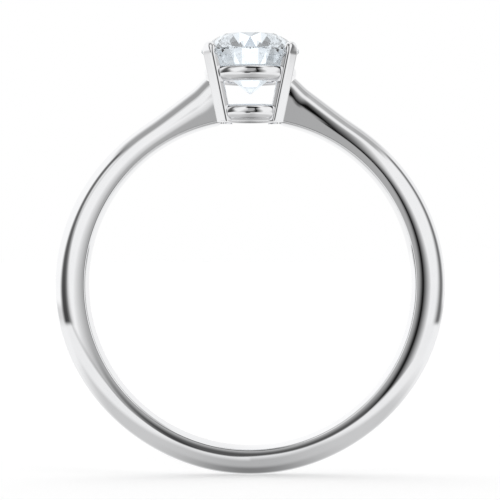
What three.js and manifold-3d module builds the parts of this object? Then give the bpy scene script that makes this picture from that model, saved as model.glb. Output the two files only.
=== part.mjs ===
// A four-claw solitaire engagement ring: a half-round, comfort-fit shank with cathedral shoulders,
// a head of two gallery rails and four claws, and a round brilliant stone.
//
// Millimetres. The origin is the centre of the finger hole, the finger runs along Y, and +Z goes up
// through the stone. An angle round the band is measured from +Z towards +X, so 0 is under the stone
// and 180 degrees is the back of the shank.
import * as THREE from "three";
import { mergeVertices } from "three/addons/utils/BufferGeometryUtils.js";
import Module from "manifold-3d";

const wasm = await Module();
wasm.setup();

const { cos, sin, abs, min, max, PI } = Math;
const rad = THREE.MathUtils.degToRad;
const lerp = THREE.MathUtils.lerp;

// ---- Driving dimensions ----------------------------------------------------------------------
const boreRadius = 8.25; // finger hole at its tightest, mid-width
const comfortRise = 0.15; // how far the hole's curve would open out by the band's very edge
const comfortShare = 0.86; // of the width, beyond which the edge rounds over
const domeStart = 8.50; // distance from the finger's axis at which the rounded edge meets the dome
const bandThickness = 1.5; // at the back and at the waist below the shoulders
const sideThickening = 0.225; // added at the sides of the band
const sideThickestAt = 94; // degrees
const sideThickeningReach = 64; // degrees either side of that
const backWidth = 2.0; // along the finger, at the back
const headWidth = 1.7; // along the finger, at the head
const widthTaper = [30, 125]; // degrees over which the width changes

const shoulderLineAngle = 36.9; // the shoulder's ridge is a straight line, square to this direction
const shoulderLineDistance = 9.72; // from the finger's axis
const shoulderFlare = 0.1; // how far the ridge rises above that line where it meets the head
const shoulderFlareReach = [12, 17]; // degrees
const waistBlend = 0.05; // softens the meeting of shoulder and band
const shoulderSeam = 50; // degrees, where the shoulders are soldered to the shank
const shoulderOverlap = 0.15; // how far the shoulders reach in past the rails' outermost line

const solderGap = 0.02; // left between neighbouring solids

const stoneDiameter = 5.0;
const girdleHeight = 11.90; // centre of the girdle above the finger's axis
const girdleThickness = 0.12;
const tableShare = 0.55; // of the stone's diameter
const crownAngle = 35.7;
const pavilionAngle = 40.8;
const starShare = 0.52; // how far the star facets reach from the table's edge to the girdle
const lowerHalfShare = 0.77; // how far the lower-girdle facets reach from the girdle to the culet
const halfFacetReach = 0.987; // of the stone's radius, where the girdle's small facets meet it
const culetFlat = 0.02;

const upperRail = { height: 10.69, outer: 2.35, thickness: 0.6, depth: 0.84 };
const lowerRail = { height: 8.71, outer: 1.86, thickness: 0.6, depth: 0.84 };
const railLean = 18; // degrees, by which the rails' outer faces look down

const clawAzimuth = 39; // degrees from the X axis
const clawFoot = { out: 1.66, up: 8.24 };
const clawAtGirdle = { out: 2.65, up: 12.0 };
const clawTip = { out: 2.69, up: 12.27 };
const clawBendBelow = 0.05; // how far under the girdle the wire starts to bend
const clawThickness = 0.48; // outwards
const clawWidth = 0.80;
const clawCorner = 0.15; // rounding radius of the wire's edges
const clawTipLength = 0.3; // over which the tip is domed

// ---- Tessellation ----------------------------------------------------------------------------
const bandStep = 5; // degrees
const domePoints = 13;
const comfortPoints = 5;
const edgePoints = 2;
const railSides = 40;
const railSectionPoints = 14;
const clawSteps = 12;
const clawTipSteps = 4;
const clawCornerPoints = 4;
const girdleSides = 64;

// ---- Materials -------------------------------------------------------------------------------
const whiteGold = () => new THREE.MeshStandardMaterial({ color: 0xe3e3e6, roughness: 0.06, metalness: 1 });
const diamondCrystal = () => new THREE.MeshStandardMaterial({ color: 0xf4faff, roughness: 0, metalness: 0 });

// ---- Solids ----------------------------------------------------------------------------------
function solidOf(geometry) {
  const bare = geometry.clone();
  bare.deleteAttribute("normal");
  bare.deleteAttribute("uv");
  const merged = mergeVertices(bare, 1e-5);
  return new wasm.Manifold(
    new wasm.Mesh({
      numProp: 3,
      vertProperties: merged.attributes.position.array,
      triVerts: new Uint32Array(merged.index.array),
    }),
  );
}

function geometryOf(solid) {
  const { vertProperties, triVerts } = solid.getMesh();
  const geometry = new THREE.BufferGeometry();
  geometry.setAttribute("position", new THREE.BufferAttribute(new Float32Array(vertProperties), 3));
  geometry.setIndex(new THREE.BufferAttribute(new Uint32Array(triVerts), 1));
  geometry.computeVertexNormals();
  return geometry;
}

function named(name, geometry, material) {
  const mesh = new THREE.Mesh(geometry, material);
  mesh.name = name;
  return mesh;
}

// A closed skin over a row of rings of points, with a fan over each end.
function loft(rings) {
  const count = rings[0].length;
  const centre = (ring) =>
    ring.reduce((sum, p) => sum.add(p), new THREE.Vector3()).divideScalar(ring.length);
  const points = [...rings.flat(), centre(rings[0]), centre(rings.at(-1))];
  const index = [];
  const at = (ring, i) => ring * count + (i % count);
  const last = rings.length - 1;
  const firstHub = rings.length * count;
  for (let i = 0; i < count; i++) {
    for (let ring = 0; ring < last; ring++) {
      index.push(at(ring, i), at(ring, i + 1), at(ring + 1, i + 1));
      index.push(at(ring, i), at(ring + 1, i + 1), at(ring + 1, i));
    }
    index.push(firstHub, at(0, i + 1), at(0, i));
    index.push(firstHub + 1, at(last, i), at(last, i + 1));
  }
  const geometry = new THREE.BufferGeometry().setFromPoints(points);
  geometry.setIndex(index);
  return geometry;
}

// ---- The band: one profile, swept round the finger hole ----------------------------------------
function outerRadius(angle) {
  const offside = min(1, abs(angle - sideThickestAt) / sideThickeningReach);
  const thickening = sideThickening * 0.5 * (1 + cos(PI * offside));
  const round = boreRadius + bandThickness + thickening;
  const beside = shoulderLineAngle - angle;
  const flare = shoulderFlare * (1 - THREE.MathUtils.smoothstep(angle, ...shoulderFlareReach));
  const straight = abs(beside) < 80 ? shoulderLineDistance / cos(rad(max(beside, 0))) + flare : 0;
  return (round + straight + Math.hypot(round - straight, waistBlend)) / 2;
}

function widthAt(angle) {
  return lerp(headWidth, backWidth, THREE.MathUtils.smoothstep(angle, ...widthTaper));
}

// The profile at an angle, as [distance from the finger's axis, place along the finger] pairs:
// the comfort-fit curve inside, a rounded edge, the dome outside, and the other rounded edge.
function bandProfile(angle) {
  const half = widthAt(angle) / 2;
  const comfort = [];
  for (let i = 0; i < comfortPoints; i++) {
    const across = comfortShare * ((2 * i) / (comfortPoints - 1) - 1);
    comfort.push([boreRadius + comfortRise * across * across, half * across]);
  }
  const [edgeStart, edgeAlong] = comfort.at(-1);
  const slope = 2 * comfortRise * comfortShare;
  const edge = new THREE.QuadraticBezierCurve(
    new THREE.Vector2(edgeStart, edgeAlong),
    new THREE.Vector2(edgeStart + slope * (1 - comfortShare), half),
    new THREE.Vector2(domeStart, half),
  );
  const rounded = [];
  for (let i = 1; i <= edgePoints; i++) {
    const { x, y } = edge.getPoint(i / (edgePoints + 1));
    rounded.push([x, y]);
  }
  const dome = [];
  for (let i = 0; i < domePoints; i++) {
    const turn = (PI * i) / (domePoints - 1);
    dome.push([domeStart + (outerRadius(angle) - domeStart) * sin(turn), half * cos(turn)]);
  }
  const otherEdge = rounded.map(([out, along]) => [out, -along]).reverse();
  return [...comfort, ...rounded, ...dome, ...otherEdge];
}

// Profiles from one angle to another, on the +X side up to 180 degrees and on the -X side beyond.
function bandSweep(from, to) {
  const steps = max(1, Math.round((to - from) / bandStep));
  const rings = [];
  for (let i = 0; i <= steps; i++) {
    const angle = lerp(from, to, i / steps);
    const mirrored = angle > 180 ? 360 - angle : angle;
    rings.push(
      bandProfile(mirrored).map(
        ([out, along]) => new THREE.Vector3(out * sin(rad(angle)), along, out * cos(rad(angle))),
      ),
    );
  }
  return loft(rings);
}

const seamHalfGap = THREE.MathUtils.radToDeg(solderGap / 2 / boreRadius);
const shoulderInnerEnd = 4; // degrees, well inside the head, where the head's seat cuts the shoulder off

// The head's inside, as a solid of revolution, which the shoulders stop at.
function headSeat() {
  const low = lowerRail.outer - shoulderOverlap;
  const high = upperRail.outer - shoulderOverlap;
  const outline = [
    [0, 7.6],
    [low, 7.6],
    [low, lowerRail.height],
    [high, upperRail.height],
    [high, 12.6],
    [0, 12.6],
  ];
  return revolve(outline, railSides);
}

// A solid of revolution about Z, from [radius, height] pairs that run upwards on the outside.
function revolve(outline, sides) {
  const geometry = new THREE.LatheGeometry(
    outline.map(([r, z]) => new THREE.Vector2(r, z)),
    sides,
  );
  return geometry.rotateX(PI / 2);
}

function shank() {
  const end = shoulderSeam + seamHalfGap;
  return geometryOf(solidOf(bandSweep(end, 360 - end)));
}

function shoulder(onRight) {
  const ends = onRight
    ? [shoulderInnerEnd, shoulderSeam - seamHalfGap]
    : [360 - shoulderSeam + seamHalfGap, 360 - shoulderInnerEnd];
  const blank = solidOf(bandSweep(...ends))
    .subtract(solidOf(headSeat()))
    .subtract(railSolid(upperRail, solderGap))
    .subtract(railSolid(lowerRail, solderGap));
  return geometryOf(filedToClaws(blank));
}

// ---- Gallery rails ---------------------------------------------------------------------------
// A ring of oval wire. Growth makes the wire thicker all round.
function railSolid({ height, outer, thickness, depth }, growth = 0) {
  const middle = new THREE.Vector2(outer - thickness / 2, height);
  const outline = [];
  for (let i = 0; i <= railSectionPoints; i++) {
    const turn = (2 * PI * i) / railSectionPoints;
    const point = new THREE.Vector2(
      (thickness / 2 + growth) * cos(turn),
      (depth / 2 + growth) * sin(turn),
    );
    const { x, y } = point.rotateAround(new THREE.Vector2(), -rad(railLean)).add(middle);
    outline.push([x, y]);
  }
  return solidOf(revolve(outline, railSides));
}

// A rail with four notches, into which the claws are soldered.
function rail(size) {
  return geometryOf(filedToClaws(railSolid(size)));
}

// ---- The stone -------------------------------------------------------------------------------
const stoneRadius = stoneDiameter / 2;
const tableRadius = stoneRadius * tableShare; // to the table's corners
const tableEdge = tableRadius * cos(PI / 8); // to the middle of a table's side
const crownBottom = girdleHeight + girdleThickness / 2;
const pavilionTop = girdleHeight - girdleThickness / 2;
const tableHeight = crownBottom + (stoneRadius - tableRadius) * Math.tan(rad(crownAngle));
const culetHeight = pavilionTop - stoneRadius * Math.tan(rad(pavilionAngle)) + culetFlat;

// How far the joint between two neighbouring main facets stands above the girdle's edge (or below
// it, on the pavilion) at a distance from the axis. The joint is 22.5 degrees round from the
// middle of either facet.
function mainJointRise(out, tilt) {
  return (stoneRadius - out * cos(PI / 8)) * Math.tan(rad(tilt));
}

// The tilts, in degrees, of the facets round the table and of those round the girdle. Each passes
// through the corner that it shares with its neighbours.
const starCorner = lerp(tableEdge, stoneRadius, starShare);
const starDrop = tableHeight - crownBottom - mainJointRise(starCorner, crownAngle);
const starAngle = THREE.MathUtils.radToDeg(Math.atan2(starDrop, starCorner - tableEdge));

function halfFacetAngle(corner, mainTilt) {
  const run = stoneRadius * halfFacetReach - corner * cos(rad(11.25));
  return THREE.MathUtils.radToDeg(Math.atan2(mainJointRise(corner, mainTilt), run));
}
const upperHalfAngle = halfFacetAngle(starCorner, crownAngle);
const lowerHalfAngle = halfFacetAngle(stoneRadius * (1 - lowerHalfShare), pavilionAngle);

// A round preform, ground by flat planes: the table and culet, then eight mains and eight stars,
// and sixteen halves above and below the girdle. Growth offsets every face outwards.
function stoneSolid(growth = 0) {
  const preform = new THREE.CylinderGeometry(
    stoneRadius + growth,
    stoneRadius + growth,
    stoneDiameter,
    girdleSides,
  );
  preform.rotateX(PI / 2);
  preform.translate(0, 0, girdleHeight);
  let stone = solidOf(preform);

  // The plane passes `out` from the axis at `height`, and leans back towards the axis by `tilt`
  // from level. Up is 1 for a plane that faces upwards, -1 for one that faces downwards.
  const grind = (azimuth, tilt, up, out, height) => {
    const outwards = sin(rad(tilt));
    const normal = [cos(rad(azimuth)) * outwards, sin(rad(azimuth)) * outwards, up * cos(rad(tilt))];
    const distance = out * outwards + height * normal[2] + growth;
    stone = stone.trimByPlane(
      normal.map((n) => -n),
      -distance,
    );
  };

  grind(0, 0, 1, 0, tableHeight);
  grind(0, 0, -1, 0, culetHeight);
  for (let i = 0; i < 8; i++) {
    grind(45 * i + 22.5, crownAngle, 1, stoneRadius, crownBottom);
    grind(45 * i + 22.5, pavilionAngle, -1, stoneRadius, pavilionTop);
    grind(45 * i, starAngle, 1, tableEdge, tableHeight);
  }
  for (let i = 0; i < 16; i++) {
    const reach = stoneRadius * halfFacetReach;
    grind(22.5 * i + 11.25, upperHalfAngle, 1, reach, crownBottom);
    grind(22.5 * i + 11.25, lowerHalfAngle, -1, reach, pavilionTop);
  }
  return stone;
}

// ---- Claws -----------------------------------------------------------------------------------
const clawPlaces = {
  claw_back_right: clawAzimuth,
  claw_back_left: 180 - clawAzimuth,
  claw_front_left: 180 + clawAzimuth,
  claw_front_right: -clawAzimuth,
};

// The wire's section: a rectangle with rounded corners, as [outwards, across] pairs.
function clawSection(growth) {
  const points = [];
  const flatOut = clawThickness / 2 - clawCorner;
  const flatAcross = clawWidth / 2 - clawCorner;
  const round = clawCorner + growth;
  for (let corner = 0; corner < 4; corner++) {
    const outwards = corner === 0 || corner === 3 ? flatOut : -flatOut;
    const across = corner < 2 ? flatAcross : -flatAcross;
    for (let i = 0; i < clawCornerPoints; i++) {
      const turn = (PI / 2) * (corner + i / (clawCornerPoints - 1));
      points.push([outwards + round * cos(turn), across + round * sin(turn)]);
    }
  }
  return points;
}

// The wire's middle line: straight and leaning outwards, then bent over the girdle.
function clawPath() {
  const lean = (clawAtGirdle.out - clawFoot.out) / (clawAtGirdle.up - clawFoot.up);
  const bendStart = new THREE.Vector3(
    clawAtGirdle.out - lean * clawBendBelow,
    0,
    clawAtGirdle.up - clawBendBelow,
  );
  const bendPull = new THREE.Vector3(clawAtGirdle.out, 0, clawAtGirdle.up);
  const tip = new THREE.Vector3(clawTip.out, 0, clawTip.up);
  const path = new THREE.CurvePath();
  path.add(new THREE.LineCurve3(new THREE.Vector3(clawFoot.out, 0, clawFoot.up), bendStart));
  path.add(new THREE.QuadraticBezierCurve3(bendStart, bendPull, tip));
  return path;
}

// One whole wire with a level foot and a domed tip, turned to its place round the head.
function clawWire(azimuth, growth = 0) {
  const path = clawPath();
  const tipShare = clawTipLength / path.getLength();
  const places = [];
  for (let i = 0; i < clawSteps; i++) places.push({ share: (i / clawSteps) * (1 - tipShare), size: 1 });
  for (let i = 0; i <= clawTipSteps; i++) {
    const through = sin(((i / clawTipSteps) * PI) / 2);
    const size = max(0.12, cos(((i / clawTipSteps) * PI) / 2));
    places.push({ share: 1 - tipShare * (1 - through), size });
  }
  const section = clawSection(growth);
  const level = new THREE.Vector3(0, 0, 1);
  const rings = places.map(({ share, size }, place) => {
    const middle = path.getPointAt(share);
    const ahead = place === 0 ? level : path.getTangentAt(share);
    const outwards = new THREE.Vector3(ahead.z, 0, -ahead.x);
    return section.map(([out, across]) => {
      const point = middle.clone().addScaledVector(outwards, out * size);
      point.y += across * size;
      return point;
    });
  });
  return solidOf(loft(rings).rotateZ(rad(azimuth)));
}

// What is left of a piece once it is filed to fit round the four claws.
function filedToClaws(solid) {
  return Object.values(clawPlaces).reduce(
    (filed, azimuth) => filed.subtract(clawWire(azimuth, solderGap)),
    solid,
  );
}

// A claw with its seat cut for the girdle.
function claw(azimuth) {
  return geometryOf(clawWire(azimuth).subtract(stoneSolid(solderGap / 2)));
}

// ---- The assembly ----------------------------------------------------------------------------
const ring = new THREE.Group();
ring.add(named("shank", shank(), whiteGold()));
ring.add(named("shoulder_right", shoulder(true), whiteGold()));
ring.add(named("shoulder_left", shoulder(false), whiteGold()));

const head = new THREE.Group();
head.add(named("upper_gallery_rail", rail(upperRail), whiteGold()));
head.add(named("lower_gallery_rail", rail(lowerRail), whiteGold()));
for (const [name, azimuth] of Object.entries(clawPlaces)) head.add(named(name, claw(azimuth), whiteGold()));
head.add(named("diamond", geometryOf(stoneSolid()), diamondCrystal()));
ring.add(head);

export default ring;
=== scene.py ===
"""The looks of a four-claw solitaire engagement ring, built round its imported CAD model.

Every length in the driving dimensions is in millimetres, and MM turns it into Blender's metres.
The origin is the centre of the finger hole, the finger runs along Y, and +Z goes up through the
stone. An angle round the band is measured from +Z towards +X.
"""

import math

import bmesh
import bpy
import numpy as np
from mathutils import Matrix, Vector


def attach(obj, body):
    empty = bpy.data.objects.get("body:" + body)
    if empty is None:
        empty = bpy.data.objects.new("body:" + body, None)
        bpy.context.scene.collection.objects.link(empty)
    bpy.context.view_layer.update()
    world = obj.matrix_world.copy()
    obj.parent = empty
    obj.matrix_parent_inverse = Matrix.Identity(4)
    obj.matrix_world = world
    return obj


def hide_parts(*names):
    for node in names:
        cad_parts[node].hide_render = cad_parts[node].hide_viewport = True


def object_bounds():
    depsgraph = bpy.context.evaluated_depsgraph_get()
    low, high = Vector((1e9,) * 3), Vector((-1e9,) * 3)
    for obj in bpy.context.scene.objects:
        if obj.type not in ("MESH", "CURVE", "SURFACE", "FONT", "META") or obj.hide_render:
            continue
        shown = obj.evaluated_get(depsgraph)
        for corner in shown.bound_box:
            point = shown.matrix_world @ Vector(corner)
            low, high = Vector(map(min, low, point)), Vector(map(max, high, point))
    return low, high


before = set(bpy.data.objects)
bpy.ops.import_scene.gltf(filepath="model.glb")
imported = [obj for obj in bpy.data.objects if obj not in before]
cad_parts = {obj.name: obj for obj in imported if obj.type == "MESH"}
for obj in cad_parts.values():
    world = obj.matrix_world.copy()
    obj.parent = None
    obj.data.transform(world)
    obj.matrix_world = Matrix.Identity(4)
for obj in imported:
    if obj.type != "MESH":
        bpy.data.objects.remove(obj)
cad_low, cad_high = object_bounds()

MM = 0.001

# ---- Driving dimensions, the same as the CAD's ------------------------------------------------
BORE_RADIUS = 8.25
COMFORT_RISE = 0.15  # how far the hole's curve would open out by the band's very edge
COMFORT_SHARE = 0.86  # the share of the width that the curve takes up before the edge rounds over
DOME_START = 8.50  # distance from the finger's axis at which the dome leaves the rounded edge
BAND_THICKNESS = 1.5
SIDE_THICKENING = 0.225  # how much thicker the band is at its sides
SIDE_THICKEST_AT = 94.0  # degrees from the top
SIDE_REACH = 64.0  # degrees over which the thickening dies away
BACK_WIDTH = 2.0  # along the finger
HEAD_WIDTH = 1.7
WIDTH_TAPER = (30.0, 125.0)  # degrees from the top between which the width grows
SHOULDER_DISTANCE = 9.72  # from the finger's axis to the straight line that a shoulder follows
SHOULDER_ANGLE = 36.9  # degrees from the top, the way that this line faces
SHOULDER_FLARE = 0.1  # how far the shoulder rises off the line at the head
SHOULDER_FLARE_REACH = (12.0, 17.0)  # degrees from the top over which that dies away
WAIST_BLEND = 0.05  # softens the corner where the shoulder leaves the round band
SHOULDER_SEAM = 50.0
SHOULDER_START = 4.0  # degrees from the top, well inside the head
SHOULDER_OVERLAP = 0.15  # how far the shoulders reach in past the rails' outermost line
SEAT_BOTTOM = 7.6  # the heights between which the head's inside is cut out of the shoulders
SEAT_TOP = 12.6
SEAT_BORE = 0.02  # keeps the cutter open along its axis

STONE_RADIUS = 2.5
GIRDLE_HEIGHT = 11.90
GIRDLE_THICKNESS = 0.12
TABLE_SHARE = 0.55
CROWN_ANGLE = 35.7
PAVILION_ANGLE = 40.8
STAR_SHARE = 0.52
LOWER_HALF_SHARE = 0.77
HALF_FACET_REACH = 0.987  # of the stone's radius, where the girdle's small facets meet it
CULET_FLAT = 0.02

UPPER_RAIL = {"height": 10.69, "outer": 2.35, "thickness": 0.6, "depth": 0.84}
LOWER_RAIL = {"height": 8.71, "outer": 1.86, "thickness": 0.6, "depth": 0.84}
RAIL_LEAN = 18.0  # degrees, by which the rails' outer faces look down

CLAW_FOOT = (1.66, 8.24)  # out from the stone's axis, up from the finger's axis
CLAW_AT_GIRDLE = (2.65, 12.0)
CLAW_TIP = (2.69, 12.27)
CLAW_BEND_BELOW = 0.05
CLAW_THICKNESS = 0.48  # outwards
CLAW_WIDTH = 0.80
CLAW_CORNER = 0.15
CLAW_TIP_LENGTH = 0.3
CLAW_ROUNDING = 0.55  # length over which the section turns from a rounded rectangle to an oval
CLAWS = {  # azimuth from +X, in degrees
    "claw_back_right": 39,
    "claw_back_left": 141,
    "claw_front_left": 219,
    "claw_front_right": -39,
}
FILED_GAP = 0.002  # left between pieces that are soldered together
STONE_GAP = 0.004  # left between the stone and the claws that are cut to hold it
SHARP_ANGLE = 32.0  # degrees between two faces from which their edge stays hard


# ---- Meshes ----------------------------------------------------------------------------------
def smoothstep(x, low, high):
    t = np.clip((x - low) / (high - low), 0, 1)
    return t * t * (3 - 2 * t)


def object_of(name, mesh):
    piece = bpy.data.objects.new(name, mesh)
    bpy.context.scene.collection.objects.link(piece)
    return piece


def finish_mesh(piece):
    """Turns the faces outwards and shades them smooth, apart from the edges that are sharp."""
    work = bmesh.new()
    work.from_mesh(piece.data)
    bmesh.ops.recalc_face_normals(work, faces=work.faces)
    work.to_mesh(piece.data)
    work.free()
    piece.data.shade_smooth()
    piece.data.set_sharp_from_angle(angle=math.radians(SHARP_ANGLE))
    return piece


def loft(name, rings, closed_path=False):
    """A skin over rings of points in millimetres, capped at both ends or closed on itself."""
    rings = np.asarray(rings, float)
    count, size = rings.shape[:2]
    faces = []
    for ring in range(count if closed_path else count - 1):
        after = (ring + 1) % count
        for i in range(size):
            j = (i + 1) % size
            faces.append((ring * size + i, ring * size + j, after * size + j, after * size + i))
    if not closed_path:
        faces.append(tuple(range(size)))
        faces.append(tuple(range((count - 1) * size, count * size)))
    mesh = bpy.data.meshes.new(name)
    mesh.from_pydata((rings.reshape(-1, 3) * MM).tolist(), [], faces)
    return finish_mesh(object_of(name, mesh))


def cut(piece, *cutters):
    """Takes the cutters' solids away from the piece."""
    for cutter in cutters:
        step = piece.modifiers.new("cut", "BOOLEAN")
        step.operation = "DIFFERENCE"
        step.solver = "EXACT"
        step.object = cutter
    depsgraph = bpy.context.evaluated_depsgraph_get()
    mesh = bpy.data.meshes.new_from_object(piece.evaluated_get(depsgraph))
    piece.modifiers.clear()
    piece.data = mesh
    return finish_mesh(piece)


def discard(*pieces):
    """Removes shapes that only served to cut others."""
    for piece in pieces:
        bpy.data.objects.remove(piece)


# ---- The band --------------------------------------------------------------------------------
def outer_radius(angle):
    """Distance from the finger's axis to the band's ridge, at an angle from the top."""
    offside = np.minimum(1, np.abs(angle - SIDE_THICKEST_AT) / SIDE_REACH)
    around = BORE_RADIUS + BAND_THICKNESS + SIDE_THICKENING * 0.5 * (1 + np.cos(np.pi * offside))
    beside = np.clip(SHOULDER_ANGLE - angle, 0, 80)
    flare = SHOULDER_FLARE * (1 - smoothstep(angle, *SHOULDER_FLARE_REACH))
    straight = SHOULDER_DISTANCE / np.cos(np.radians(beside)) + flare
    straight = np.where(angle > SHOULDER_ANGLE + 80, 0, straight)
    return (around + straight + np.hypot(around - straight, WAIST_BLEND)) / 2


def width_at(angle):
    return HEAD_WIDTH + (BACK_WIDTH - HEAD_WIDTH) * smoothstep(angle, *WIDTH_TAPER)


def band_profile(angle):
    """The section at an angle, as [distance from the finger's axis, place along the finger]."""
    half = width_at(angle) / 2
    inner = np.linspace(-COMFORT_SHARE, COMFORT_SHARE, 21)
    comfort = np.column_stack([BORE_RADIUS + COMFORT_RISE * inner**2, half * inner])
    slope = 2 * COMFORT_RISE * COMFORT_SHARE
    start = np.array([comfort[-1][0], half * COMFORT_SHARE])
    pull = np.array([start[0] + slope * (1 - COMFORT_SHARE), half])
    end = np.array([DOME_START, half])
    t = np.linspace(0, 1, 13)[1:-1, None]
    edge = start * (1 - t) ** 2 + pull * 2 * t * (1 - t) + end * t**2
    turn = np.linspace(0, np.pi, 57)
    dome = np.column_stack(
        [DOME_START + (outer_radius(angle) - DOME_START) * np.sin(turn), half * np.cos(turn)]
    )
    far_edge = edge[::-1] * [1, -1]
    return np.vstack([comfort, edge, dome, far_edge])


def band_sweep(name, start, stop, step=0.75):
    """The band from one angle to another. The rings beside each end keep the shading even there."""
    inside = np.linspace(start + 0.05, stop - 0.05, max(2, round((stop - start) / step)))
    rings = []
    for angle in [start, *inside, stop]:
        profile = band_profile(angle if angle <= 180 else 360 - angle)
        turn = math.radians(angle)
        out, along = profile[:, 0], profile[:, 1]
        rings.append(np.column_stack([out * math.sin(turn), along, out * math.cos(turn)]))
    return loft(name, rings)


def head_seat():
    """The head's inside, a solid of revolution that the shoulders stop at."""
    low = LOWER_RAIL["outer"] - SHOULDER_OVERLAP
    high = UPPER_RAIL["outer"] - SHOULDER_OVERLAP
    outline = [
        (SEAT_BORE, SEAT_BOTTOM),
        (low, SEAT_BOTTOM),
        (low, LOWER_RAIL["height"]),
        (high, UPPER_RAIL["height"]),
        (high, SEAT_TOP),
        (SEAT_BORE, SEAT_TOP),
    ]
    return loft("head_seat", revolve(outline, sides=180), closed_path=True)


def revolve(outline, sides):
    """Rings of points round the Z axis, one for each side, from [radius, height] pairs."""
    outline = np.asarray(outline, float)
    rings = []
    for side in range(sides):
        turn = 2 * math.pi * side / sides
        rings.append(
            np.column_stack(
                [outline[:, 0] * math.cos(turn), outline[:, 0] * math.sin(turn), outline[:, 1]]
            )
        )
    return rings


# ---- Gallery rails ---------------------------------------------------------------------------
def rail(name, height, outer, thickness, depth, growth=0.0):
    """A ring round the head with a leaning oval section."""
    turn = np.linspace(0, 2 * np.pi, 49)[:-1]
    lean = math.radians(-RAIL_LEAN)
    out, up = (thickness / 2 + growth) * np.cos(turn), (depth / 2 + growth) * np.sin(turn)
    section = np.column_stack(
        [
            outer - thickness / 2 + out * math.cos(lean) - up * math.sin(lean),
            height + out * math.sin(lean) + up * math.cos(lean),
        ]
    )
    return loft(name, revolve(section, sides=160), closed_path=True)


# ---- Claws -----------------------------------------------------------------------------------
def claw_path():
    """Points along the wire's middle line, [out, up], and how far along it each one is."""
    foot, bend_pull, tip = map(np.array, (CLAW_FOOT, CLAW_AT_GIRDLE, CLAW_TIP))
    lean = (bend_pull[0] - foot[0]) / (bend_pull[1] - foot[1])
    bend_start = bend_pull - CLAW_BEND_BELOW * np.array([lean, 1])
    straight = foot + (bend_start - foot) * np.linspace(0, 1, 60)[:, None]
    t = np.linspace(0, 1, 60)[1:, None]
    bend = bend_start * (1 - t) ** 2 + bend_pull * 2 * t * (1 - t) + tip * t**2
    points = np.vstack([straight, bend])
    lengths = np.concatenate([[0], np.cumsum(np.hypot(*np.diff(points, axis=0).T))])
    return points, lengths


def claw_section(growth):
    """A rounded rectangle, as [outwards, across] pairs, with extra points beside each corner."""
    corners = []
    for corner, (out, across) in enumerate(((1, 1), (-1, 1), (-1, -1), (1, -1))):
        turns = np.radians(90 * corner + np.linspace(0, 90, 10))
        arc = np.column_stack([np.cos(turns), np.sin(turns)]) * (CLAW_CORNER + growth)
        arc += [out * (CLAW_THICKNESS / 2 - CLAW_CORNER), across * (CLAW_WIDTH / 2 - CLAW_CORNER)]
        corners.append(arc)
    joined = []
    for arc, following in zip(corners, corners[1:] + corners[:1]):
        flat = following[:1] - arc[-1:]
        joined += [arc, arc[-1:] + flat * 0.08, arc[-1:] + flat * 0.92]
    return np.vstack(joined)


def claw_wire(name, azimuth, growth=0.0):
    """One whole wire with a level foot and a domed tip, at its place round the head."""
    points, lengths = claw_path()
    total = lengths[-1]
    shaft = np.linspace(0, total - CLAW_TIP_LENGTH, 44)
    dome = np.radians(np.linspace(0, 88, 15)[1:])
    along = np.concatenate([shaft, total - CLAW_TIP_LENGTH * (1 - np.sin(dome))])
    sizes = np.concatenate([np.ones(len(shaft)), np.cos(dome)])
    square = claw_section(growth)
    reach = np.hypot(square[:, 0] / (CLAW_THICKNESS / 2), square[:, 1] / (CLAW_WIDTH / 2))
    oval = square / reach[:, None]
    place = math.radians(azimuth)
    rings = []
    for ring, (distance, size) in enumerate(zip(along, sizes)):
        middle = np.array([np.interp(distance, lengths, points[:, k]) for k in (0, 1)])
        ahead = np.array([np.interp(distance + 0.01, lengths, points[:, k]) for k in (0, 1)])
        behind = np.array([np.interp(distance - 0.01, lengths, points[:, k]) for k in (0, 1)])
        tangent = ahead - behind if ring else np.array([0.0, 1.0])
        tangent /= np.linalg.norm(tangent)
        rounding = smoothstep(distance, total - CLAW_ROUNDING, total - CLAW_TIP_LENGTH * 0.6)
        section = square + (oval - square) * rounding
        out = middle[0] + tangent[1] * section[:, 0] * size
        up = middle[1] - tangent[0] * section[:, 0] * size
        across = section[:, 1] * size
        x = out * math.cos(place) - across * math.sin(place)
        y = out * math.sin(place) + across * math.cos(place)
        rings.append(np.column_stack([x, y, up]))
    return loft(name, rings)


# ---- The stone -------------------------------------------------------------------------------
TABLE_RADIUS = STONE_RADIUS * TABLE_SHARE
TABLE_EDGE = TABLE_RADIUS * math.cos(math.pi / 8)
CROWN_BOTTOM = GIRDLE_HEIGHT + GIRDLE_THICKNESS / 2
PAVILION_TOP = GIRDLE_HEIGHT - GIRDLE_THICKNESS / 2
TABLE_HEIGHT = CROWN_BOTTOM + (STONE_RADIUS - TABLE_RADIUS) * math.tan(math.radians(CROWN_ANGLE))
CULET_HEIGHT = PAVILION_TOP - STONE_RADIUS * math.tan(math.radians(PAVILION_ANGLE)) + CULET_FLAT


def main_joint_rise(out, tilt):
    """Height above (or below) the girdle of the joint between two mains, at a distance out."""
    return (STONE_RADIUS - out * math.cos(math.pi / 8)) * math.tan(math.radians(tilt))


STAR_CORNER = TABLE_EDGE + (STONE_RADIUS - TABLE_EDGE) * STAR_SHARE
STAR_ANGLE = math.degrees(
    math.atan2(
        TABLE_HEIGHT - CROWN_BOTTOM - main_joint_rise(STAR_CORNER, CROWN_ANGLE),
        STAR_CORNER - TABLE_EDGE,
    )
)


def half_facet_angle(corner, main_tilt):
    """Tilt of the half facets that reach from the girdle to a corner between two mains."""
    run = STONE_RADIUS * HALF_FACET_REACH - corner * math.cos(math.radians(11.25))
    return math.degrees(math.atan2(main_joint_rise(corner, main_tilt), run))


UPPER_HALF_ANGLE = half_facet_angle(STAR_CORNER, CROWN_ANGLE)
LOWER_HALF_ANGLE = half_facet_angle(STONE_RADIUS * (1 - LOWER_HALF_SHARE), PAVILION_ANGLE)


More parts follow.
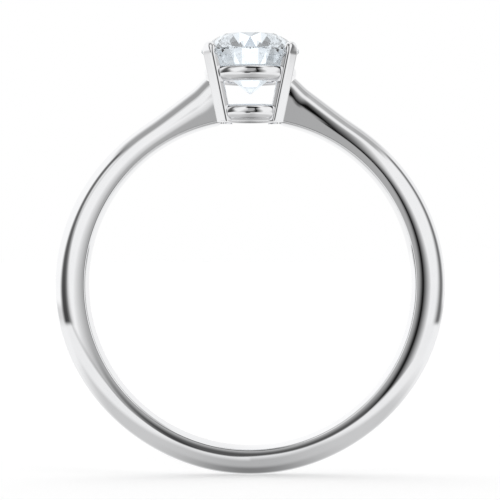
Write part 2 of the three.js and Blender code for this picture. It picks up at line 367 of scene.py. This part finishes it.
def round_brilliant(name, growth=0.0):
    """A round preform ground by flat planes, each leaving one flat face."""
    stone = bmesh.new()
    bmesh.ops.create_cone(
        stone,
        cap_ends=True,
        segments=128,
        radius1=STONE_RADIUS + growth,
        radius2=STONE_RADIUS + growth,
        depth=2 * STONE_RADIUS,
        matrix=Matrix.Translation((0, 0, GIRDLE_HEIGHT)),
    )

    def grind(azimuth, tilt, up, out, height):
        azimuth, tilt = math.radians(azimuth), math.radians(tilt)
        normal = Vector(
            (
                math.cos(azimuth) * math.sin(tilt),
                math.sin(azimuth) * math.sin(tilt),
                up * math.cos(tilt),
            )
        )
        point = Vector((out * math.cos(azimuth), out * math.sin(azimuth), height)) + normal * growth
        result = bmesh.ops.bisect_plane(
            stone,
            geom=[*stone.verts, *stone.edges, *stone.faces],
            plane_co=point,
            plane_no=normal,
            clear_outer=True,
            dist=1e-7,
        )
        rim = [e for e in result["geom_cut"] if isinstance(e, bmesh.types.BMEdge)]
        if len(rim) > 2:
            bmesh.ops.edgenet_fill(stone, edges=rim)

    grind(0, 0, 1, 0, TABLE_HEIGHT)
    grind(0, 0, -1, 0, CULET_HEIGHT)
    for i in range(8):
        grind(45 * i + 22.5, CROWN_ANGLE, 1, STONE_RADIUS, CROWN_BOTTOM)
        grind(45 * i + 22.5, PAVILION_ANGLE, -1, STONE_RADIUS, PAVILION_TOP)
        grind(45 * i, STAR_ANGLE, 1, TABLE_EDGE, TABLE_HEIGHT)
    for i in range(16):
        reach = STONE_RADIUS * HALF_FACET_REACH
        grind(22.5 * i + 11.25, UPPER_HALF_ANGLE, 1, reach, CROWN_BOTTOM)
        grind(22.5 * i + 11.25, LOWER_HALF_ANGLE, -1, reach, PAVILION_TOP)
    bmesh.ops.dissolve_degenerate(stone, dist=1e-5, edges=stone.edges)
    bmesh.ops.recalc_face_normals(stone, faces=stone.faces)
    bmesh.ops.scale(stone, vec=(MM, MM, MM), verts=stone.verts)
    mesh = bpy.data.meshes.new(name)
    stone.to_mesh(mesh)
    stone.free()
    return object_of(name, mesh)


# ---- Shader nodes ----------------------------------------------------------------------------
class Value:
    """A number in a node tree, with the arithmetic written as Python's own."""

    def __init__(self, tree, source):
        self.tree, self.source = tree, source

    def math(self, operation, *others):
        node = self.tree.nodes.new("ShaderNodeMath")
        node.operation = operation
        for i, term in enumerate((self, *others)):
            if isinstance(term, Value):
                self.tree.links.new(term.source, node.inputs[i])
            else:
                node.inputs[i].default_value = term
        return Value(self.tree, node.outputs[0])

    def __add__(self, other):
        return self.math("ADD", other)

    def __sub__(self, other):
        return self.math("SUBTRACT", other)

    def __mul__(self, other):
        return self.math("MULTIPLY", other)

    def __truediv__(self, other):
        return self.math("DIVIDE", other)

    def size(self):
        return self.math("ABSOLUTE")

    def at_least(self, low):
        return self.math("MAXIMUM", low)

    def at_most(self, high):
        return self.math("MINIMUM", high)

    def flipped(self):
        """One less the value."""
        return (self * -1) + 1

    def rise(self, low, high):
        """0 up to low, 1 from high on, and smooth between."""
        node = self.tree.nodes.new("ShaderNodeMapRange")
        node.interpolation_type = "SMOOTHSTEP"
        self.tree.links.new(self.source, node.inputs["Value"])
        for name, end in (("From Min", low), ("From Max", high)):
            if isinstance(end, Value):
                self.tree.links.new(end.source, node.inputs[name])
            else:
                node.inputs[name].default_value = end
        return Value(self.tree, node.outputs["Result"])

    def towards(self, other, share):
        """A blend of this value with another one."""
        if isinstance(other, Value):
            return self * share.flipped() + other * share
        return self * share.flipped() + share * other


# ---- Materials -------------------------------------------------------------------------------
GOLD_COLOUR = (0.905, 0.908, 0.918)
HAZED_GOLD_COLOUR = (0.885, 0.889, 0.902)
POLISHED_ROUGHNESS = 0.035
HAIRLINES = (900, 9000, 900)  # per metre along X, Y and Z, so that the lines run round the band
DIAMOND_COLOUR = (0.965, 0.985, 1.0)
CLOUDED_DIAMOND_COLOUR = (0.985, 0.995, 1.0)
DIAMOND_IOR = 2.417
POLISHING_LINES = (4000, 60000, 4000)  # per metre along X, Y and Z


def new_material(name):
    material = bpy.data.materials.new(name)
    material.use_nodes = True
    return material, material.node_tree, material.node_tree.nodes["Principled BSDF"]


def node_of(tree, kind, **values):
    node = tree.nodes.new(kind)
    for name, value in values.items():
        node.inputs[name.replace("_", " ")].default_value = value
    return node


def noise(tree, place, **values):
    """A noise texture read at a place, as a Value from 0 to 1."""
    texture = node_of(tree, "ShaderNodeTexNoise", **values)
    tree.links.new(place, texture.inputs["Vector"])
    return Value(tree, texture.outputs["Fac"])


def stretched(tree, place, scale):
    """The place with its X, Y and Z multiplied, so that a noise read there turns into lines."""
    mapping = node_of(tree, "ShaderNodeMapping", Scale=scale)
    tree.links.new(place, mapping.inputs["Vector"])
    return mapping.outputs["Vector"]


def colour_between(tree, shader, share, first, second):
    """Sets the shader's colour to a mix of two, by a Value from 0 to 1."""
    mix = tree.nodes.new("ShaderNodeMix")
    mix.data_type = "RGBA"
    mix.inputs["A"].default_value = (*first, 1)
    mix.inputs["B"].default_value = (*second, 1)
    tree.links.new(share.source, mix.inputs["Factor"])
    tree.links.new(mix.outputs["Result"], shader.inputs["Base Color"])


def polished_white_gold(name):
    """Mirror-polished white gold, with the fine hairlines and faint haze that wear leaves in it."""
    material, tree, shader = new_material(name)
    place = tree.nodes.new("ShaderNodeTexCoord").outputs["Object"]
    geometry = tree.nodes.new("ShaderNodeNewGeometry")
    along_band = stretched(tree, place, HAIRLINES)
    hairlines = noise(tree, along_band, Scale=1.0, Detail=3.0, Roughness=0.7)
    lines = hairlines.rise(0.55, 0.75)
    haze = noise(tree, place, Scale=700.0, Detail=4.0).rise(0.35, 0.75)
    edges = Value(tree, geometry.outputs["Pointiness"]).rise(0.53, 0.62)
    roughness = haze * 0.02 + lines * 0.015 + edges * 0.03 + POLISHED_ROUGHNESS
    tree.links.new(roughness.source, shader.inputs["Roughness"])
    colour_between(tree, shader, haze, GOLD_COLOUR, HAZED_GOLD_COLOUR)

    bump = node_of(tree, "ShaderNodeBump", Strength=0.02, Distance=0.00001)
    tree.links.new(hairlines.source, bump.inputs["Height"])
    tree.links.new(bump.outputs["Normal"], shader.inputs["Normal"])
    shader.inputs["Metallic"].default_value = 1.0
    return material


def clear_diamond(name):
    """A colourless stone with faint growth clouds and the finest polishing lines on its facets."""
    material, tree, shader = new_material(name)
    place = tree.nodes.new("ShaderNodeTexCoord").outputs["Object"]
    clouds = noise(tree, place, Scale=600.0, Detail=3.0)
    colour_between(tree, shader, clouds, DIAMOND_COLOUR, CLOUDED_DIAMOND_COLOUR)
    on_facets = stretched(tree, place, POLISHING_LINES)
    lines = noise(tree, on_facets, Scale=1.0, Detail=2.0).rise(0.5, 0.8)
    tree.links.new((lines * 0.008).source, shader.inputs["Roughness"])
    shader.inputs["IOR"].default_value = DIAMOND_IOR
    shader.inputs["Transmission Weight"].default_value = 1.0
    return material


# ---- Studio ----------------------------------------------------------------------------------
# A direction is given by two angles in degrees. "fore" is 0 behind the ring and 180 in front of
# it, and "below" is 0 overhead, 90 at either side and 180 underfoot. "left" and "right" are 1 on
# their own side and 0 on the other. Light levels are 1 for the white panels and 0 for black.
SKY_TINT = (0.92, 0.98, 1.03)  # colour of the light that the stone gathers
BLUE_TINT = (0.85, 0.99, 1.14)  # and of its bluest patches
PAPER_WHITE = 0.9
PAPER_GLOW = 0.33  # keeps the floor white where nothing shades it
FLOOR_REACH = 2.0  # metres to each side
FLOOR_DROP = 0.00001  # metres from the ring down to the floor
LENS = 161.7  # millimetres, a long lens for the photo's flat perspective
SENSOR = 36.0  # millimetres
EYE = (-0.00001, -0.115, 0.00174)  # metres
LIGHT_BOUNCES = 20  # inside the stone, and between pieces of polished metal


def studio_light():
    """A white tent of soft panels with a few dark gaps between them, far from the ring."""
    world = bpy.data.worlds.new("studio_tent")
    bpy.context.scene.world = world
    world.use_nodes = True
    tree = world.node_tree
    tree.nodes.clear()
    split = tree.nodes.new("ShaderNodeSeparateXYZ")
    coordinates = tree.nodes.new("ShaderNodeTexCoord")
    tree.links.new(coordinates.outputs["Generated"], split.inputs[0])
    x, y, z = (Value(tree, split.outputs[axis]) for axis in "XYZ")
    degrees = 180 / math.pi
    fore = y.math("ARCCOSINE") * degrees
    around = x.math("ARCTAN2", z) * degrees  # 0 overhead, 90 to the right
    below = around.size()
    right = around.rise(-12, 12)
    left = right.flipped()

    underfoot = below.rise(102, 104)
    light = walls(fore, below, left, right).towards(floor_panel(fore, below, right), underfoot)
    reach = fore.rise(105, 120).flipped() * left + fore.rise(72, 88).flipped() * right
    seam = below.rise(95, 99) * below.rise(101, 105).flipped() * fore.rise(30, 55) * reach
    light = light * (seam * -0.3 + 1.0)
    light = front(light, x, y, z, fore)
    light = light.towards(0.05, left_gap(fore, below) * left * underfoot.flipped())

    background = tree.nodes.new("ShaderNodeBackground")
    tree.links.new(light.source, background.inputs["Color"])
    sparkle = tree.nodes.new("ShaderNodeBackground")
    tint = tree.nodes.new("ShaderNodeCombineColor")
    gathered, blueness = through_stone(fore, below, right)
    for channel, pale, deep in zip(("Red", "Green", "Blue"), SKY_TINT, BLUE_TINT):
        shade = (blueness * (deep - pale) + pale) * gathered
        tree.links.new(shade.source, tint.inputs[channel])
    tree.links.new(tint.outputs[0], sparkle.inputs["Color"])
    plain = node_of(tree, "ShaderNodeBackground", Color=(1, 1, 1, 1), Strength=1.0)

    # Rays that leave the stone see "sparkle", what lies behind the ring is plain white, and every
    # other ray sees the tent.
    rays = tree.nodes.new("ShaderNodeLightPath")
    shown = background.outputs[0]
    for kind, shader in (("Is Transmission Ray", sparkle), ("Is Camera Ray", plain)):
        mix = tree.nodes.new("ShaderNodeMixShader")
        tree.links.new(rays.outputs[kind], mix.inputs[0])
        tree.links.new(shown, mix.inputs[1])
        tree.links.new(shader.outputs[0], mix.inputs[2])
        shown = mix.outputs[0]
    output = tree.nodes.new("ShaderNodeOutputWorld")
    tree.links.new(shown, output.inputs["Surface"])


def through_stone(fore, below, right):
    """How much light the stone gathers from a direction, and how blue that light is."""
    light = fore.rise(12, 24) * -0.42 + 1.42
    beside = (right * 0.24 + 0.4).towards(0.72, below.rise(135, 155))
    low = below.rise(92, 104) * fore.rise(19, 27) * fore.rise(95, 110).flipped()
    light = light.towards(beside, low)
    ahead = fore.rise(95, 110) * fore.rise(138, 150).flipped()
    light = light.towards(0.7, below.rise(95, 110) * ahead)

    high = below.rise(36, 60).flipped()
    sky = high * fore.rise(15, 22) * fore.rise(40, 46).flipped()
    light = light.towards(0.8, sky).towards(1.2, high * fore.rise(44, 50))
    overhead = below.rise(35, 50).flipped() * fore.rise(70, 84)
    light = light.towards(below.rise(10, 24) * 0.65 + 0.25, overhead)
    facing = fore.rise(98, 105) * fore.rise(128, 131).flipped()
    facing = facing * below.rise(20, 35) * below.rise(75, 90).flipped()
    light = light.towards(0.12, facing)
    underneath = below.rise(150, 157) * fore.rise(97, 103) * fore.rise(110, 113).flipped()
    return light.towards(0.15, underneath), sky.at_least(overhead * 0.6)


def walls(fore, below, left, right):
    """White walls and back, a grey ceiling strip, and a dark gap in the right wall."""
    light = right * -0.05 + 1.0 + left * 0.03
    overhead = below.rise(41, 49).flipped()
    ceiling = light.towards(0.68, fore.rise(42, 62)).towards(0.44, fore.rise(80, 90))
    ceiling = ceiling.towards(0.93, fore.rise(107, 117))
    light = light.towards(ceiling, overhead * below.rise(26, 36) * right)
    ceiling = light.towards(0.38, fore.rise(72, 106)).towards(0.95, fore.rise(120, 127))
    light = light.towards(ceiling, overhead * left)

    spread = below.rise(55, 102) + 1.0
    offset = (fore - 86) / spread
    gap = offset.rise(-17, 0) * offset.rise(1, 17).flipped() * overhead.flipped() * right
    return light.towards(0.16, gap * 0.98)


def left_gap(fore, below):
    """How much of the left wall's dark gap lies in a direction."""
    spread = below.rise(60, 102) * 1.1 + 0.85
    offset = (fore - 110 - below.rise(48, 78) * 4 + below.rise(86, 100) * 2) / spread
    gap = offset.rise(-14, -2) * offset.rise(3, 16).flipped()
    return gap * below.rise(40, 46) * (below.rise(60, 100) * 0.08 + 0.9)


def floor_panel(fore, below, right):
    """White beside the ring and in front, and darker under it."""
    late = fore.rise(60, 85) * 5 - 5 + right.flipped() * fore.rise(85, 108) * 6
    panel = (below + late).rise(112, 136) * -0.33 + 0.96
    panel = panel - below.rise(146, 180) * (fore.rise(92, 118) * -0.25 + 0.4)
    panel = panel.towards(0.97, fore.rise(25, 65).flipped())
    inward = (below - 130).at_least(-20).at_most(28) * (right * 0.2 + 0.9)
    return panel.towards(0.92, (fore - inward).rise(108, 130))


def front(light, x, y, z, fore):
    """A grey panel facing the ring, parted by dark gaps from what is beside, above and below it."""
    ahead = fore.rise(120, 131)
    depth = (y * -1).at_least(0.1)
    beside = x / depth
    above = z / depth
    high = above.at_least(0.0)

    edge = above.rise(0.0, 0.35) * -0.07 + 0.36
    edge = edge + (high - 0.45).at_least(0.0).at_most(1.2) * 0.42
    within = beside.rise(edge - 0.04, edge).flipped()
    middle = beside.rise(-0.34, -0.22) * beside.rise(-0.06, 0.05).flipped()
    lift = beside.rise(-0.44, -0.34).flipped() * 0.08 - middle * 0.12
    lift = lift - beside.rise(0.05, 0.2) * 0.012
    foot = (above * -1 + lift).rise(0.28, 0.45)

    # Beyond the panel the right wall brightens with distance, and the floor starts at once.
    slope = above.rise(0.0, 0.5) * 1.1 + 1.75
    beyond = ((beside - edge) * slope).at_least(0.0)
    beyond = beyond.at_least(foot).at_most(1.0)
    light = light * beyond.towards(1.0, ahead.flipped())

    leftwards = (beside * -1 - 0.1).at_least(0.0)
    panel = leftwards * 1.05 + 0.42 + above * leftwards.rise(0.0, 0.06) * 0.75
    panel = panel.at_least(0.1).at_most(0.95)
    start = (high * 0.8 + 0.07).at_most(edge - 0.06)
    closing = beside.rise(start, edge - 0.02)
    under = (above * -1).rise(0.04, 0.28) * beside.rise(-0.34, -0.16) * 0.8
    panel = panel * closing.at_least(under).flipped() + 0.012
    top = above.rise(0.46, 0.62)
    panel = panel.towards(0.95, top)
    slot = top * above.rise(1.6, 2.4).flipped() * beside.rise(-0.36, -0.14)
    panel = panel.towards(0.01, slot)
    return light.towards(panel, within * foot.flipped() * ahead)


def studio_floor():
    """A white paper floor just under the ring, hidden from reflections and from the stone."""
    height = cad_low.z - FLOOR_DROP
    square = ((-1, -1), (1, -1), (1, 1), (-1, 1))
    corners = [(x * FLOOR_REACH, y * FLOOR_REACH, height) for x, y in square]
    mesh = bpy.data.meshes.new("studio_floor")
    mesh.from_pydata(corners, [], [(0, 1, 2, 3)])
    floor = object_of("studio_floor", mesh)
    material, tree, shader = new_material("floor_paper")
    shader.inputs["Base Color"].default_value = (PAPER_WHITE, PAPER_WHITE, PAPER_WHITE, 1)
    shader.inputs["Roughness"].default_value = 1.0
    shader.inputs["Specular IOR Level"].default_value = 0.0
    shader.inputs["Emission Color"].default_value = (1, 1, 1, 1)
    shader.inputs["Emission Strength"].default_value = PAPER_GLOW
    mesh.materials.append(material)
    floor.visible_glossy = False
    floor.visible_transmission = False


def camera():
    """The photo's view: level, from straight in front, a little above the finger hole's middle."""
    data = bpy.data.cameras.new("camera")
    data.sensor_width = SENSOR
    data.lens = LENS
    data.clip_start = 0.001
    data.clip_end = 10.0
    eye = bpy.data.objects.new("camera", data)
    eye.location = EYE
    eye.rotation_euler = (math.pi / 2, 0, 0)
    bpy.context.scene.collection.objects.link(eye)
    bpy.context.scene.camera = eye


# ---- The scene -------------------------------------------------------------------------------
def add(piece, node, material):
    """Gives a piece its material, and lets it stand for a CAD node."""
    piece.data.materials.clear()
    piece.data.materials.append(material)
    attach(piece, "root")
    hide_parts(node)


camera()
studio_light()
studio_floor()
bpy.context.scene.view_settings.view_transform = "Standard"

cycles = bpy.context.scene.cycles
cycles.max_bounces = LIGHT_BOUNCES + 4
cycles.glossy_bounces = LIGHT_BOUNCES
cycles.transmission_bounces = LIGHT_BOUNCES

stone = round_brilliant("diamond_facets")
stone_cutter = round_brilliant("stone_cutter", growth=STONE_GAP)
claw_cutters = [
    claw_wire("cutter_" + name, azimuth, FILED_GAP) for name, azimuth in CLAWS.items()
]
head_cutters = [
    head_seat(),
    rail("upper_rail_cutter", **UPPER_RAIL, growth=FILED_GAP),
    rail("lower_rail_cutter", **LOWER_RAIL, growth=FILED_GAP),
    *claw_cutters,
]

pieces = {
    "shank": band_sweep("shank_polished", SHOULDER_SEAM, 360 - SHOULDER_SEAM),
    "shoulder_right": cut(
        band_sweep("shoulder_right_polished", SHOULDER_START, SHOULDER_SEAM), *head_cutters
    ),
    "shoulder_left": cut(
        band_sweep("shoulder_left_polished", 360 - SHOULDER_SEAM, 360 - SHOULDER_START),
        *head_cutters,
    ),
    "upper_gallery_rail": cut(rail("upper_gallery_rail_polished", **UPPER_RAIL), *claw_cutters),
    "lower_gallery_rail": cut(rail("lower_gallery_rail_polished", **LOWER_RAIL), *claw_cutters),
}
for name, azimuth in CLAWS.items():
    pieces[name] = cut(claw_wire(name + "_polished", azimuth), stone_cutter)
discard(stone_cutter, *head_cutters)

white_gold = polished_white_gold("white_gold")
for node, piece in pieces.items():
    add(piece, node, white_gold)
    piece.visible_transmission = False  # no metal shows through the stone
add(stone, "diamond", clear_diamond("diamond"))
pieces["shoulder_right"].visible_glossy = False  # nor do the shoulders show in other metal
pieces["shoulder_left"].visible_glossy = False
